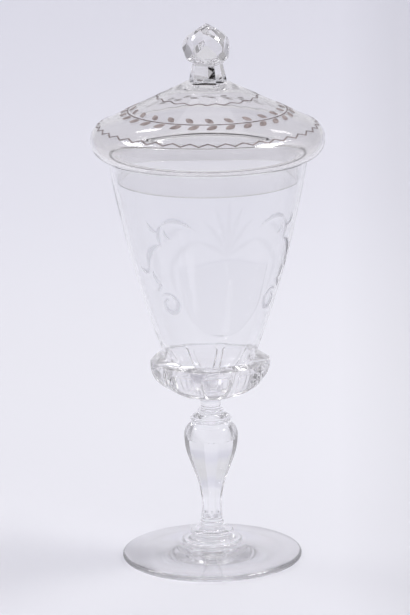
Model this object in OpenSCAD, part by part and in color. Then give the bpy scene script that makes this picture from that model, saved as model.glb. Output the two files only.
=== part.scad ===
// Covered glass goblet: a conical bowl in a cut calyx on a baluster stem and a disc foot,
// closed by a loose blown cover with a rolled rim, an inner flange and a cut finial.
// Millimetres, +Z up, origin in the middle of the face that the foot rests on.

/* [Foot] */
// Diameter of the foot disc
foot_d = 100; // [80:1:130]
// Thickness of the foot at its edge
foot_edge_h = 2.9; // [2:0.1:4]
// Rise of the upper face from the edge to the button
foot_rise = 4.1; // [2:0.1:8]
// Width of the flat ring that the foot rests on
foot_rest_w = 7; // [4:0.5:12]
// Depth of the shallow hollow inside that ring
foot_hollow_h = 1.4; // [0.6:0.1:2]
// Diameter of the ground spot in the middle of the underside
pontil_d = 20; // [10:1:28]
// Depth of the ground spot
pontil_h = 0.8; // [0.4:0.1:1.2]

/* [Foot button] */
// Diameter of the button's lower band
button_d = 34.6; // [28:0.2:44]
// Height of the lower band
button_band_h = 3.4; // [2.4:0.1:5]
// Height of the hollow slope above the band
button_slope_h = 2.9; // [1.5:0.1:5]
// Diameter of the button's upper disc
button_disc_d = 24; // [20:0.2:26]
// Thickness of the upper disc
button_disc_h = 2; // [1.2:0.1:3]

/* [Lower collar] */
// Height of the collar between button and stem
collar_h = 7.7; // [6:0.1:10]
// Diameter of the collar where it spreads on the button
collar_base_d = 15.6; // [14:0.2:18]
// Diameter of the ring round the collar
collar_ring_d = 13.4; // [12.6:0.2:15]
// Height of that ring
collar_ring_h = 2.5; // [1.6:0.1:3]
// Height of the ring's middle above the button
collar_ring_rise = 4; // [3:0.1:5]

/* [Stem] */
// Height of the baluster stem
stem_h = 54.5; // [44:0.5:70]
// Diameter of the stem at its slim lower end
stem_low_d = 11.6; // [10:0.2:13]
// Length of the straight slim end
stem_slim_h = 6.4; // [2:0.2:12]
// Diameter across the shoulder of the stem
stem_shoulder_d = 30; // [24:0.2:36]
// Depth of the round shoulder below the merese
stem_shoulder_h = 9; // [7:0.2:12]
// Diameter of the stem under the merese
stem_top_d = 18.6; // [15:0.2:20]
// Number of cut facets below the shoulder
stem_facets = 8; // [6:2:12]
// Depth of the cut at the corners between the facets
stem_cut_h = 0.3; // [0.2:0.05:0.6]

/* [Merese] */
// Diameter of the merese's sharp edge
merese_d = 22.8; // [21:0.2:28]
// Height of the merese
merese_h = 5; // [4:0.1:7]
// Height of the sharp edge above the stem
merese_edge_rise = 2.1; // [1.4:0.1:2.8]
// Thickness of the sharp edge
merese_edge_h = 1; // [0.6:0.1:1.4]

/* [Neck collar] */
// Height of the neck between merese and calyx
neck_h = 9; // [7:0.2:13]
// Diameter of the ring at the foot of the neck
neck_ring_d = 14.4; // [13.6:0.2:17]
// Height of that ring
neck_ring_h = 2.4; // [1.6:0.1:3]
// Diameter of the neck at its waist
neck_waist_d = 11; // [9:0.2:11.8]
// Diameter of the neck where it meets the calyx
neck_top_d = 12.6; // [12:0.2:13.4]
// Height of the spread under the calyx
neck_spread_h = 1.4; // [0.8:0.1:2]

/* [Calyx] */
// Width of the calyx across opposite corners of its rim, before the ribs are ground
calyx_d = 67.2; // [60:0.4:76]
// Number of cut panels round the calyx
calyx_panels = 10; // [8:2:12]
// Turn of the panels about the axis
calyx_turn = 6; // [0:1:36]
// Width at the rim of the flat rib ground along each corner
calyx_rib_w = 3.4; // [2:0.2:5]
// Depth of the rounded underside below the rim
calyx_depth = 20; // [17:0.5:26]
// Radius of the rounding under the rim
calyx_under_r = 14; // [10:0.5:15]
// Height of the upright band at the rim
calyx_band_h = 2.3; // [1:0.1:3]
// Rise of the shelf from the rim to the bowl, in the middle of a panel
calyx_crown_h = 1.2; // [0.6:0.1:3]
// Depth of the bowl's seat below the rim's upper edge
calyx_seat_h = 15.7; // [11.7:0.5:16.2]

/* [Bowl] */
// Diameter of the bowl at its lip
bowl_d = 109; // [104:0.5:120]
// Height of the bowl from its seat in the calyx to its lip
bowl_h = 129.3; // [104:0.5:150]
// Diameter of the bowl where its rounded base begins
bowl_base_d = 57.5; // [52:0.5:59]
// Height of the rounded base
bowl_base_h = 28; // [24:0.5:34]
// Diameter of the flat bottom that sits in the calyx
bowl_seat_d = 32; // [24:0.5:34]
// Diameter of the flat floor inside
bowl_floor_d = 20; // [12:0.5:26]
// Outward swell of the wall between base and lip
bowl_swell = 2.4; // [0:0.1:4]
// Thickness of the bowl's wall
bowl_wall = 1.7; // [1.4:0.1:3.4]
// Thickness of the bowl's bottom
bowl_bottom_h = 4.5; // [3:0.1:8]

/* [Cover] */
// Diameter of the cover across its rolled rim
cover_d = 128; // [122:0.5:136]
// Slope of the cover's cone above the horizontal
cover_slope = 26; // [20:0.5:34]
// Radius of the rolled rim in section
cover_roll_r = 9.5; // [8:0.1:11]
// Thickness of the cover's wall
cover_wall = 1.8; // [1.8:0.1:3]
// Radius of the flat top that carries the finial
cover_top_r = 12.4; // [11.8:0.1:14]
// Radius of the thickened crown inside, under the finial
cover_crown_r = 6.2; // [4:0.1:8]
// Depth of the flange below the shelf that rests on the lip
flange_h = 12.8; // [8:0.2:16]
// Play between the flange and the bowl's wall at the flange's lower edge
flange_play = 1; // [0.6:0.1:1.6]
// Play between the cover's shelf and the bowl's lip
seat_play = 0.3; // [0.2:0.05:0.5]

/* [Finial] */
// Number of sides of the finial
finial_sides = 5; // [5:1:8]
// Height of the finial's neck
finial_neck_h = 11.6; // [11:0.2:15]
// Height of the neck's upright base
finial_base_h = 3.2; // [2.4:0.1:5]
// Height of the neck's waist
finial_waist_h = 9.6; // [8:0.1:10]
// Radius of the neck's base to its corners
finial_base_r = 11; // [10:0.1:11.6]
// Radius of the neck's waist to its corners
finial_waist_r = 8.8; // [7.4:0.1:9.6]
// Radius of the neck's top to its corners
finial_top_r = 9.8; // [9:0.1:10.6]
// Turn of the neck's sides about the axis
finial_neck_turn = -9; // [-36:1:36]
// Height of the finial's pointed knob
knob_h = 20.7; // [18:0.2:26]
// Diameter of the knob before it is cut
knob_d = 26.4; // [24:0.2:30]
// Radius of the knob where it stands on the neck
knob_foot_r = 7.8; // [6.5:0.1:8.4]
// Height of the knob's widest place
knob_belly_h = 8.3; // [7:0.1:10]
// Height above that place to which the sides stay steep
knob_shoulder_h = 5.2; // [4:0.1:6]
// Turn of the knob's facets about the axis
knob_turn = 6; // [-36:1:36]
// Distance of the broad round facets from the knob's middle
knob_broad_r = 11; // [10.2:0.1:12]
// Elevation that the broad facets face
knob_broad_tilt = 5; // [0:1:10]
// Elevation that the facets of the point face
knob_point_tilt = 58; // [52:1:62]
// Distance of the facets under the knob from its middle
knob_under_r = 11.9; // [11.4:0.1:12.6]
// Elevation that the facets under the knob face
knob_under_tilt = -33; // [-40:1:-28]

/* [Hidden] */

$fn = 96;
clear_glass = [0.86, 0.88, 0.92, 0.55];
cut_glass = [0.80, 0.82, 0.88, 0.6];
// Steps in each curved stretch of a profile
steps = 10;
// Longer than any piece is wide, for cutting and clipping
reach = 200;
// How late the foot rises towards its button, and the stem towards its shoulder
foot_sweep = 1.9;
stem_sweep = 1.12;
// How far round the rings of the collar and the neck stand clear, in degrees
collar_ring_a = 60;
neck_ring_a = 70;
// How far each shelf of the calyx runs on into the bowl, so that it also meets it at the corners
calyx_shelf_run = 1.35;
// Glass ground away above the knob's point, and the radius that it had there
knob_spare_h = 0.4;
knob_spare_r = 1.2;

// The pieces stand one on another, each on the face of the one below
button_z = foot_edge_h + foot_rise;
button_h = button_band_h + button_slope_h + button_disc_h;
collar_z = button_z + button_h;
stem_z = collar_z + collar_h;
merese_z = stem_z + stem_h;
neck_z = merese_z + merese_h;
calyx_z = neck_z + neck_h;

// The calyx: flats stand at the apothem, and two arcs shape the underside below the rim
calyx_flat_r = calyx_d / 2 * cos(180 / calyx_panels);
calyx_rib_r = calyx_d / 2 - calyx_rib_w * tan(180 / calyx_panels) / 2;
calyx_floor_r = ((calyx_flat_r - calyx_under_r) ^ 2 + calyx_depth ^ 2 - calyx_under_r ^ 2)
    / (2 * (calyx_depth - calyx_under_r));
calyx_seat_sag = calyx_floor_r - sqrt(calyx_floor_r ^ 2 - (neck_top_d / 2) ^ 2);
calyx_rim_z = calyx_z + calyx_depth - calyx_seat_sag;
calyx_band_z = calyx_rim_z + calyx_band_h;

// The bowl's rounded base sinks into the calyx
bowl_z = calyx_band_z - calyx_seat_h;
lip_z = bowl_z + bowl_h;
lip_r = bowl_wall / 2;

// The cover's shelf lies on the lip, and its flange hangs inside the wall
shelf_z = lip_z + seat_play;
flange_edge_z = shelf_z - flange_h;
flange_r = wall_r(flange_edge_z) - bowl_wall - flange_play;
roll_c = [cover_d / 2 - cover_roll_r, shelf_z + cover_roll_r];
cone_start = roll_c + cover_roll_r * [sin(cover_slope), cos(cover_slope)];
cover_top_z = cone_start[1] + (cone_start[0] - cover_top_r) * tan(cover_slope);
knob_z = cover_top_z + finial_neck_h;

// Points of an arc in the plane of a profile
function arc(c, r, a0, a1, n = steps) =
    [for (i = [0:n]) let (a = a0 + (a1 - a0) * i / n) c + r * [cos(a), sin(a)]];

// Points of a curve from p to q that leaves p and reaches q along the lines to m
function curve(p, m, q, n = steps) =
    [for (i = [0:n]) let (t = i / n) (1 - t) ^ 2 * p + 2 * t * (1 - t) * m + t ^ 2 * q];

// Points of a curve from p to q that is level with the axis at both ends
function ogee(p, q, n = steps) =
    [for (i = [0:n]) let (t = i / n, ease = (1 - cos(180 * t)) / 2)
        [p[0] + (q[0] - p[0]) * ease, p[1] + (q[1] - p[1]) * t]];

// The left half of an outline, from its right half, in the order that closes it
function mirrored(right) = [for (i = [len(right) - 1:-1:0]) [-right[i][0], right[i][1]]];

// Radius of the bowl's outside at a height above its rounded base
function wall_r(z) =
    let (t = (z - bowl_z - bowl_base_h) / (bowl_h - bowl_base_h))
    bowl_base_d / 2 + (bowl_d - bowl_base_d) / 2 * t + 4 * bowl_swell * t * (1 - t);

// Radius of the stem's turned outline at a height t of its lower part, from 0 to 1
function stem_r(t) =
    let (low = stem_slim_h / (stem_h - stem_shoulder_h), u = max(0, (t - low) / (1 - low)))
    stem_low_d / 2 + (stem_shoulder_d - stem_low_d) / 2 * (1 - cos(180 * u ^ stem_sweep)) / 2;

// A solid turned from a profile that starts and ends on the axis
module turned(profile) {
    rotate_extrude() polygon(profile);
}

// What is common to a half outline drawn straight through at each of a number of sides
module all_sides(count, turn, passes) {
    intersection_for (i = [0:passes - 1])
        rotate(turn - 90 + 360 / count * i) rotate([90, 0, 0])
            linear_extrude(reach, center = true) children();
}

// The same for a whole outline, which cuts two opposite sides at a time
module opposite_sides(count, turn) {
    all_sides(count, turn, count / 2) children();
}

// Disc foot with a rounded edge, a shallow hollow below and a ground spot in its middle
module foot() {
    edge_r = foot_edge_h / 2;
    edge_x = foot_d / 2 - edge_r;
    rest_x = foot_d / 2 - foot_rest_w - edge_r;
    top = [for (i = [0:2 * steps]) let (t = i / (2 * steps))
        [edge_x + (button_d / 2 - edge_x) * t, foot_edge_h + foot_rise * t ^ foot_sweep]];
    hollow = [for (i = [0:steps]) let (t = i / steps)
        [pontil_d / 2 + (rest_x - pontil_d / 2) * t, foot_hollow_h * (1 - t ^ 2)]];
    spot = [for (i = [0:steps]) let (t = i / steps)
        [pontil_d / 2 * t, foot_hollow_h + pontil_h * (1 - t ^ 2)]];
    color(clear_glass)
        turned(concat(spot, hollow, arc([edge_x, edge_r], edge_r, -90, 90), top, [[0, button_z]]));
}

// Flattened knop on the foot: a band, a hollow slope and a small disc
module foot_button() {
    band_r = button_band_h / 2;
    slope_z = button_z + button_band_h;
    disc_z = slope_z + button_slope_h;
    disc_r = button_disc_h / 2;
    disc_x = button_disc_d / 2 - disc_r;
    slope_x = button_d / 2 - band_r;
    color(clear_glass)
        turned(concat([[0, button_z]], arc([slope_x, button_z + band_r], band_r, -90, 90),
            curve([slope_x - band_r / 2, slope_z], [disc_x, slope_z], [disc_x, disc_z]),
            arc([disc_x, disc_z + disc_r], disc_r, -90, 90), [[0, collar_z]]));
}

// Collar that spreads on the button and carries a ring
module lower_collar() {
    ring_r = collar_ring_h / 2;
    ring_z = collar_z + collar_ring_rise;
    ring_x = collar_ring_d / 2 - ring_r;
    low_r = stem_low_d / 2;
    color(clear_glass)
        turned(concat([[0, collar_z]],
            curve([collar_base_d / 2, collar_z], [low_r, collar_z], [low_r, ring_z - ring_r]),
            arc([ring_x, ring_z], ring_r, -collar_ring_a, collar_ring_a),
            [[low_r, ring_z + ring_r], [low_r, stem_z], [0, stem_z]]));
}

// Outline of the stem below the point where its shoulder begins, drawn in by a depth and for flats
function stem_lower(depth, flat) =
    [for (i = [0:2 * steps]) let (t = i / (2 * steps))
        [(stem_r(t) - depth) * flat, stem_z + (stem_h - stem_shoulder_h) * t]];

// One cut right through the stem: flats below the shoulder, nothing above
module stem_cut() {
    side = stem_lower(stem_cut_h, cos(180 / stem_facets));
    end_z = stem_z + stem_h - stem_shoulder_h;
    right = concat(side, [[reach / 4, end_z + stem_shoulder_h / 4], [reach / 4, merese_z + reach / 4]]);
    polygon(concat(right, mirrored(right)));
}

// Inverted baluster with a round shoulder and long facets below it
module stem() {
    shoulder = [stem_shoulder_d / 2, merese_z - stem_shoulder_h];
    top = [stem_top_d / 2, merese_z];
    color(cut_glass) intersection() {
        turned(concat([[0, stem_z]], stem_lower(0, 1),
            curve(shoulder, [shoulder[0], top[1] - stem_shoulder_h / 5], top), [[0, merese_z]]));
        opposite_sides(stem_facets, 180 / stem_facets) stem_cut();
    }
}

// Disc with a sharp edge that hides the join of stem and neck
module merese() {
    edge_z = merese_z + merese_edge_rise;
    edge_r = merese_edge_h / 2;
    edge_x = merese_d / 2 - edge_r;
    color(clear_glass)
        turned(concat([[0, merese_z], [stem_top_d / 2, merese_z]],
            curve([stem_top_d / 2, merese_z], [edge_x, merese_z + edge_r], [edge_x, edge_z - edge_r]),
            arc([edge_x, edge_z], edge_r, -90, 90),
            curve([edge_x, edge_z + edge_r], [edge_x, neck_z - merese_edge_h], [neck_ring_d / 2, neck_z]),
            [[0, neck_z]]));
}

// Neck with a ring at its foot, drawn in at the waist
module neck_collar() {
    ring_r = neck_ring_h / 2;
    ring_x = neck_ring_d / 2 - ring_r;
    waist_x = neck_waist_d / 2;
    color(clear_glass)
        turned(concat([[0, neck_z]], arc([ring_x, neck_z + ring_r], ring_r, -90, neck_ring_a),
            curve([waist_x + ring_r / 2, neck_z + neck_ring_h], [waist_x, neck_z + neck_ring_h],
                [waist_x, neck_z + (neck_h + neck_ring_h) / 2]),
            curve([waist_x, neck_z + (neck_h + neck_ring_h) / 2], [waist_x, calyx_z - neck_spread_h],
                [neck_top_d / 2, calyx_z]),
            [[0, calyx_z]]));
}

// Cross-section of the calyx through two opposite panels, with the rim at height 0 and a flat seat below,
// or through two opposite ribs, which lie a little further out
module calyx_section(widening = 1) {
    floor_c = [0, calyx_floor_r - calyx_depth];
    under_c = [calyx_flat_r - calyx_under_r, 0];
    seat_a = -acos(neck_top_d / 2 / calyx_floor_r);
    meet_a = -atan2(floor_c[1], under_c[0]);
    under = arc(under_c, calyx_under_r, meet_a, 0);
    band = [calyx_flat_r, calyx_band_h];
    shelf = [wall_in_calyx(calyx_seat_h + calyx_crown_h), calyx_band_h + calyx_crown_h] - band;
    right = concat(arc(floor_c, calyx_floor_r, seat_a, meet_a), [for (i = [1:steps]) under[i]],
        [band, band + calyx_shelf_run * shelf]);
    wide = [for (p = right) [p[0] * widening, p[1]]];
    polygon(concat(wide, mirrored(wide)));
}

// Cut calyx: vaulted panels with a slim rib between them, an upright rim band, and a shelf that slopes up to
// the bowl on each side
module calyx() {
    color(cut_glass) difference() {
        translate([0, 0, calyx_rim_z]) intersection() {
            opposite_sides(calyx_panels, calyx_turn) calyx_section();
            opposite_sides(calyx_panels, calyx_turn + 180 / calyx_panels)
                calyx_section(calyx_rib_r / calyx_flat_r);
        }
        turned(bowl_outside());
    }
}

// Radius of the bowl's rounded base at a height above its seat
function wall_in_calyx(h) =
    let (t = sqrt(h / bowl_base_h))
    (1 - t) ^ 2 * bowl_seat_d / 2 + 2 * t * (1 - t) * base_corner_r() + t ^ 2 * bowl_base_d / 2;

// Where the wall's line at the base, carried down, meets the level of the seat
function base_corner_r() =
    let (run = (bowl_d - bowl_base_d) / 2 + 4 * bowl_swell, rise = bowl_h - bowl_base_h)
    bowl_base_d / 2 - bowl_base_h * run / rise;

// Outside of the bowl from its seat to its lip
function bowl_outside() =
    concat([[0, bowl_z]],
        [for (i = [0:steps]) let (h = bowl_base_h * (i / steps) ^ 2) [wall_in_calyx(h), bowl_z + h]],
        [for (i = [1:2 * steps])
            let (z = bowl_z + bowl_base_h + (bowl_h - bowl_base_h - lip_r) * i / (2 * steps))
            [wall_r(z), z]],
        arc([wall_r(lip_z) - lip_r, lip_z - lip_r], lip_r, 0, 90),
        [[0, lip_z]]);

// Conical bowl with a fire-rounded lip and a thick bottom
module bowl() {
    inside_z = bowl_z + bowl_bottom_h;
    inside_base_z = bowl_z + bowl_base_h + bowl_wall;
    inside_base_x = wall_r(inside_base_z) - bowl_wall;
    inside_corner = [base_corner_r() - bowl_wall / 2, inside_z];
    color(clear_glass) difference() {
        turned(bowl_outside());
        turned(concat([[0, inside_z]],
            curve([bowl_floor_d / 2, inside_z], inside_corner, [inside_base_x, inside_base_z]),
            [for (i = [1:2 * steps])
                let (z = inside_base_z + (lip_z - lip_r - inside_base_z) * i / (2 * steps))
                [wall_r(z) - bowl_wall, z]],
            arc([wall_r(lip_z) - lip_r, lip_z - lip_r], lip_r, 180, 90),
            [[wall_r(lip_z) - lip_r, lip_z + reach], [0, lip_z + reach]]));
    }
}

// Blown cover: a cone rolled in under its rim to a level shelf and a hanging flange
module cover() {
    edge_r = cover_wall / 2;
    inner_r = cover_roll_r - cover_wall;
    inner_cone = roll_c + inner_r * [sin(cover_slope), cos(cover_slope)];
    inner_top_z = inner_cone[1] + (inner_cone[0] - cover_crown_r) * tan(cover_slope);
    crown_z = inner_top_z - cover_wall;
    color(clear_glass) turned(concat(
        [[0, cover_top_z], [cover_top_r, cover_top_z]],
        arc(roll_c, cover_roll_r, 90 - cover_slope, -90, 3 * steps),
        [[flange_r, shelf_z]],
        arc([flange_r - edge_r, flange_edge_z + edge_r], edge_r, 0, -180),
        [[flange_r - cover_wall, shelf_z + cover_wall]],
        arc(roll_c, inner_r, -90, 90 - cover_slope, 3 * steps),
        curve([cover_crown_r * 2, inner_top_z - cover_crown_r * tan(cover_slope)],
            [cover_crown_r, inner_top_z], [0, crown_z])));
}

// Half the section of the finial's neck through a side: an upright base, a waist and a spread top
module finial_neck_section() {
    flat = cos(180 / finial_sides);
    polygon(concat([[-reach / 4, 0], [finial_base_r * flat, 0]],
        ogee([finial_base_r * flat, finial_base_h], [finial_waist_r * flat, finial_waist_h]),
        ogee([finial_waist_r * flat, finial_waist_h], [finial_top_r * flat, finial_neck_h]),
        [[-reach / 4, finial_neck_h]]));
}

// Cut neck that joins the knob to the cover
module finial_neck() {
    color(cut_glass) translate([0, 0, cover_top_z])
        all_sides(finial_sides, finial_neck_turn, finial_sides) finial_neck_section();
}

// Takes off all that lies further out than a flat facet
module flat_cut(azimuth, elevation, distance) {
    rotate(azimuth - 90) rotate([0, -elevation, 0])
        translate([distance, -reach / 2, -reach / 2]) cube(reach);
}

// Knob with a broad round facet over each side of the neck, and between them facets under it and to its point
module finial_knob() {
    ball_r = knob_d / 2;
    point_h = knob_h - knob_belly_h;
    spare_z = knob_h + knob_spare_h;
    color(cut_glass) translate([0, 0, knob_z]) difference() {
        turned(concat([[0, 0]],
            curve([knob_foot_r, 0], [ball_r, 0], [ball_r, knob_belly_h]),
            curve([ball_r, knob_belly_h], [ball_r, knob_belly_h + knob_shoulder_h], [knob_spare_r, spare_z]),
            [[0, spare_z]]));
        translate([0, 0, knob_belly_h]) for (i = [0:finial_sides - 1]) {
            middle_turn = knob_turn + 360 / finial_sides * i;
            corner_turn = middle_turn + 180 / finial_sides;
            flat_cut(middle_turn, knob_broad_tilt, knob_broad_r);
            flat_cut(corner_turn, knob_point_tilt, point_h * sin(knob_point_tilt));
            flat_cut(corner_turn, knob_under_tilt, knob_under_r);
        }
    }
}

foot();
foot_button();
lower_collar();
stem();
merese();
neck_collar();
calyx();
bowl();
cover();
finial_neck();
finial_knob();
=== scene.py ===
"""Looks of a covered glass goblet: clear blown and cut glass, an engraved bowl and a gilded cover.

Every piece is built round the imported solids, in metres, in the same frame: +Z up, front towards -Y.
Angles are in degrees. Those round the axis start at the front and grow to the right.
"""

import math

import bmesh
import bpy
import numpy as np
from mathutils import Matrix, Vector


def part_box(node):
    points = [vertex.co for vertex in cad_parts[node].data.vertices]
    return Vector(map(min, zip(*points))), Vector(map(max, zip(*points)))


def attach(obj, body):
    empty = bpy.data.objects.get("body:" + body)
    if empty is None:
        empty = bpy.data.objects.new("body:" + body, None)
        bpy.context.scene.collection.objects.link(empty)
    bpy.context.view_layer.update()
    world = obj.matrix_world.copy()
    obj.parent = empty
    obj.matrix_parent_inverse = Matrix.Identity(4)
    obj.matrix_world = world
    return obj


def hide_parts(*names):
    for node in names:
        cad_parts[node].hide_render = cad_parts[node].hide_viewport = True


MM = 0.001
TINY = 1e-9

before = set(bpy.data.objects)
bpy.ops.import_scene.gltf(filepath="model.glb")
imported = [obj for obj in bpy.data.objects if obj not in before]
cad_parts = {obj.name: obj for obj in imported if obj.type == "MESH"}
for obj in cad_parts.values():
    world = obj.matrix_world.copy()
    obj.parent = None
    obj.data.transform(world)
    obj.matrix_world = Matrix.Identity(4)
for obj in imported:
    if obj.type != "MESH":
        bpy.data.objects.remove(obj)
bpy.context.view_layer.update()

# How finely curves and rings are divided
STEPS = 14
MANY_STEPS = 24
STEM_RINGS = 60
VAULT_STEPS = 32
PANEL_STEPS = 36
RIB_STEPS = 5
SHELF_RINGS = 8
SOFT_STEPS = 10
BOWL_LOW_RINGS = 6
BOWL_TOP_RINGS = 8
BOWL_BASE_RINGS = 12
BOWL_INSIDE_RINGS = 24
CONE_RINGS = 30
ROLL_INSIDE_STEPS = 40
ROLL_OUTSIDE_STEPS = 48
BRUSH_STEPS = 12
LEAF_STEPS = 8
SPIRAL_POINTS = 40

# Edges sharper than these angles show as edges
CREASE = 28
CALYX_CREASE = 40
KNOB_CREASE = 16

# Sizes of the foot that its box doesn't give, and below them those of the other pieces
FOOT_EDGE_H = 2.9 * MM
FOOT_REST_W = 7 * MM
FOOT_HOLLOW_H = 1.4 * MM
FOOT_RISE_POWER = 1.9
PONTIL_R = 10 * MM
PONTIL_H = 0.8 * MM

# Button and lower collar
BUTTON_BAND_H = 3.4 * MM
BUTTON_DISC_R = 12 * MM
BUTTON_DISC_H = 2 * MM
COLLAR_RING_R = 6.7 * MM
COLLAR_RING_H = 2.5 * MM
COLLAR_RING_RISE = 4 * MM
COLLAR_RING_ARC = 60

# Stem, whose facets fade in above its foot
STEM_LOW_R = 5.8 * MM
STEM_SLIM_H = 6.4 * MM
STEM_SWELL_POWER = 1.12
STEM_TOP_R = 9.3 * MM
STEM_SHOULDER_H = 9 * MM
STEM_BEND_H = STEM_SHOULDER_H / 5
STEM_LEDGE_H = 0.5 * MM
STEM_CUT_H = 0.3 * MM
STEM_FADE_H = 3 * MM
STEM_FACETS = 8

# Merese and neck
MERESE_EDGE_RISE = 2.1 * MM
MERESE_EDGE_H = 1 * MM
NECK_RING_H = 2.4 * MM
NECK_RING_ARC = 70
NECK_SPREAD_H = 1.4 * MM
NECK_WAIST_R = 5.5 * MM
NECK_TOP_R = 6.3 * MM

# Calyx, with hollowed panels between flat ribs
CALYX_R = 33.6 * MM
CALYX_PANELS = 10
CALYX_TURN = 6
CALYX_DEPTH = 20 * MM
CALYX_UNDER_R = 14 * MM
CALYX_FADE_R = 2 * MM
CALYX_BAND_H = 2.3 * MM
CALYX_CROWN_H = 1.2 * MM
CALYX_SEAT_H = 15.7 * MM
CALYX_RIB_W = 3.4 * MM
CALYX_SOFT_R = 0.35 * MM
CALYX_SOFT_ARC = 80
PANEL_HOLLOW_H = 1 * MM
PANEL_EDGE_W = 1.2 * MM
PANEL_TOP_R = 4 * MM
PANEL_FOOT_R = 15 * MM

# Bowl
BOWL_BASE_R = 28.75 * MM
BOWL_BASE_H = 28 * MM
BOWL_SEAT_R = 16 * MM
BOWL_FLOOR_R = 10 * MM
BOWL_SWELL = 2.4 * MM
BOWL_WALL = 1.7 * MM
BOWL_BOTTOM_H = 4.5 * MM
BOWL_LIP_R = 54.5 * MM

# Cover
COVER_SLOPE = 26
COVER_ROLL_R = 9.5 * MM
COVER_WALL = 1.8 * MM
COVER_TOP_R = 12.4 * MM
COVER_CROWN_R = 6.2 * MM
FLANGE_H = 12.8 * MM
FLANGE_PLAY = 1 * MM
FLANGE_FOLD_R = 4.6 * MM

# Finial: the knob is turned a little too large and then cut
FINIAL_SIDES = 5
FINIAL_BASE_R = 11 * MM
FINIAL_WAIST_R = 8.8 * MM
FINIAL_TOP_R = 9.8 * MM
FINIAL_NECK_TURN = -9
FINIAL_WAIST_H = 9.6 * MM
KNOB_R = 13.2 * MM
KNOB_FOOT_R = 7.8 * MM
KNOB_BELLY_H = 8.3 * MM
KNOB_SHOULDER_H = 5.2 * MM
KNOB_TURN = 6
KNOB_BROAD_R = 11 * MM
KNOB_BROAD_TILT = 5
KNOB_POINT_TILT = 58
KNOB_UNDER_R = 11.9 * MM
KNOB_UNDER_TILT = -33
KNOB_SPARE_H = 0.4 * MM
KNOB_SPARE_R = 1.2 * MM
CUT_GRIP = 1e-7

# Gilding: places up are along the cone's slope, from where it meets the rolled edge
GILT_H = 0.05 * MM
GILT_LIFT = 0.01 * MM
GILT_JOIN = 0.002 * MM
GILT_LINE_W = 0.75 * MM
WAVE_COUNT = 19
WAVE_UP = 34.9 * MM
WAVE_RISE = 1.3 * MM
STEM_LINE_COUNT = 60
STEM_LINE_UP = 17 * MM
STEM_LINE_W = 0.8 * MM
ZIGZAG_COUNT = 39
ZIGZAG_UP = -1.0 * MM
ZIGZAG_RISE = 2.4 * MM
ZIGZAG_LINE_W = 1.3 * GILT_LINE_W

# Leaves: base and tip in millimetres along and up from the garland's stem, and the first one's turn
LEAF_W = 3.5 * MM
LEAF_POINT_POWER = 0.75
OUTER_LEAVES = 29
OUTER_LEAF_BASE = (2.9, -1.0)
OUTER_LEAF_TIP = (-2.8, -4.3)
OUTER_LEAF_TURN = 3
INNER_LEAVES = 24
INNER_LEAF_BASE = (2.7, 1.5)
INNER_LEAF_TIP = (-2.4, 5.2)
INNER_LEAF_TURN = 1

# Heights and radii of the pieces, from the frame
FOOT_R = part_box("foot")[1][0]
BUTTON_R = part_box("foot_button")[1][0]
BUTTON_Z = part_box("foot")[1][2]
COLLAR_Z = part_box("lower_collar")[0][2]
COLLAR_BASE_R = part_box("lower_collar")[1][0]
STEM_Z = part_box("stem")[0][2]
STEM_SHOULDER_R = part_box("stem")[1][0]
MERESE_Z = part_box("merese")[0][2]
MERESE_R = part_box("merese")[1][0]
NECK_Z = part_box("neck_collar")[0][2]
NECK_RING_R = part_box("neck_collar")[1][0]
CALYX_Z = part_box("calyx")[0][2]
BOWL_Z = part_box("bowl")[0][2]
LIP_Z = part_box("bowl")[1][2]
FLANGE_EDGE_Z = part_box("cover")[0][2]
COVER_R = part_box("cover")[1][0]
COVER_TOP_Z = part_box("cover")[1][2]
KNOB_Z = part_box("finial_knob")[0][2]
TIP_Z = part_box("finial_knob")[1][2]


# Curves of a profile, as (radius, height)

def arc(centre, radius, first, last, steps=STEPS):
    """Part of a circle between two angles, counted up from the level."""
    angles = np.radians(np.linspace(first, last, steps + 1))
    return [(centre[0] + radius * math.cos(a), centre[1] + radius * math.sin(a)) for a in angles]


def curve(p, m, q, steps=STEPS):
    """A curve from p to q that leaves p and reaches q along the lines to m."""
    p, m, q = np.array(p), np.array(m), np.array(q)
    way = np.linspace(0, 1, steps + 1)
    return [tuple((1 - t) ** 2 * p + 2 * t * (1 - t) * m + t ** 2 * q) for t in way]


def ogee(p, q, steps=STEPS):
    """A curve from p to q that runs along the axis at both ends."""
    ease = [(1 - math.cos(math.pi * t)) / 2 for t in np.linspace(0, 1, steps + 1)]
    return [(p[0] + (q[0] - p[0]) * e, p[1] + (q[1] - p[1]) * i / steps) for i, e in enumerate(ease)]


def smooth(x):
    """0 below 0, 1 above 1, and an easy rise between."""
    x = np.clip(x, 0, 1)
    return x * x * (3 - 2 * x)


# Turned pieces: angles of a ring, and the two materials that a piece has
ROUND = np.arange(0, 360, 1.0)
GLASS = 0
JOINT = 1


def add_object(name, data):
    thing = bpy.data.objects.new(name, data)
    bpy.context.collection.objects.link(thing)
    return thing


def is_pole(radius):
    """Whether a ring is only a point on the axis."""
    return np.max(np.abs(radius)) < TINY


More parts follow.
